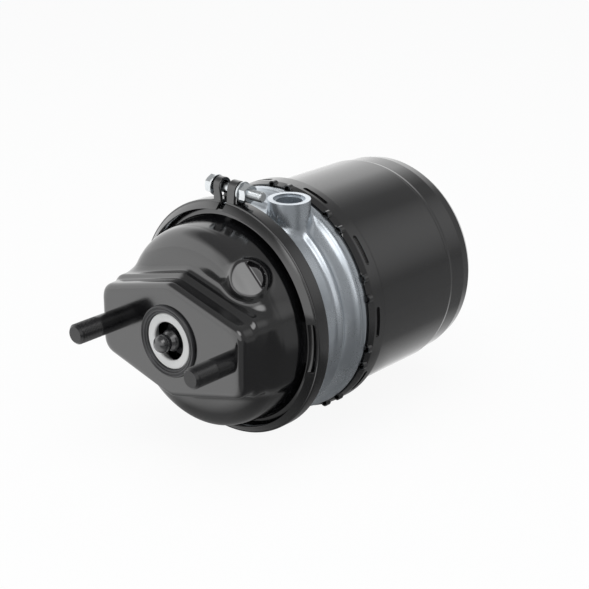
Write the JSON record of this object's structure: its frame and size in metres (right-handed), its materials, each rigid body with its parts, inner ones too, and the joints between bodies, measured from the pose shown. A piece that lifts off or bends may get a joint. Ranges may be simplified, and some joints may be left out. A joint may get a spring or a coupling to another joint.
{
  "type": "spring brake actuator",
  "caption": "Round air brake actuator with a stud-mounted hexagonal pad, a central push rod, a band-clamped diaphragm chamber and a long spring housing behind.",
  "frame": {"origin": "centre of the mounting face, between the two studs, on the push rod's axis", "axes": "+Y along the axis from the mounting face to the spring housing; the studs point to -Y; +Z towards the band bolt; the studs lie along X"},
  "size_m": [0.1848, 0.368, 0.2015],
  "materials": {
    "black_paint": "satin black coating on pressed steel",
    "black_studs": "black coated thread",
    "steel": "bare steel",
    "dark_steel": "dark phosphated steel",
    "zinc": "zinc plated",
    "cast_aluminium": "die cast, blasted",
    "rubber": "black rubber",
    "pale_plastic": "pale grey plastic",
    "bronze": "bearing bronze",
    "spring_coating": "coated spring steel",
    "black_plastic": "black plastic"
  },
  "bodies": {
    "chamber": {"front_housing": "black_paint", "stud_plate": "steel", "mounting_studs": "black_studs", "face_seal": "rubber", "seal_ring": "pale_plastic", "rod_boot": "rubber", "return_spring": "steel", "diaphragm": "rubber", "clamp_band": "black_paint", "clamp_bolt": "zinc", "clamp_washers": "zinc", "clamp_nut": "zinc", "flange_case": "cast_aluminium", "tube_guide_bush": "bronze", "tube_seal": "rubber", "housing_o_ring": "rubber", "lock_ring": "steel", "spring_housing": "black_paint", "power_spring": "spring_coating", "rear_spring_seat": "black_plastic", "release_nut": "zinc"},
    "push_rod_group": {"push_plate": "steel", "push_rod": "dark_steel"},
    "piston_group": {"spring_piston": "cast_aluminium", "piston_seal": "rubber", "piston_guide_ring": "black_plastic", "piston_tube": "steel", "tube_end_plug": "steel"},
    "release_carrier": {"thrust_washer": "steel"},
    "release_bolt_group": {"release_bolt": "zinc", "release_bolt_collar": "steel"}
  },
  "joints": [
    {"name": "piston_stroke", "type": "slide", "parent": "chamber", "child": "piston_group", "axis": [0, -1, 0], "range_m": [0, 0.057], "deforming": ["power_spring"]},
    {"name": "push_rod_stroke", "type": "slide", "parent": "chamber", "child": "push_rod_group", "axis": [0, -1, 0], "range_m": [0, 0.057], "deforming": ["return_spring", "rod_boot", "diaphragm"]},
    {"name": "release_travel", "type": "slide", "parent": "chamber", "child": "release_carrier", "axis": [0, -1, 0], "range_m": [0, 0.057]},
    {"name": "release_turn", "type": "hinge", "parent": "release_carrier", "child": "release_bolt_group", "pos_m": [0, 0.3, 0], "axis": [0, -1, 0], "range_deg": [0, 6841]}
  ],
  "couplings": [
    {"joint": "push_rod_stroke", "follows": "piston_stroke", "ratio": 1},
    {"joint": "release_travel", "follows": "piston_stroke", "ratio": 1},
    {"joint": "release_turn", "follows": "piston_stroke", "rad_per_m": 2094.4}
  ]
}
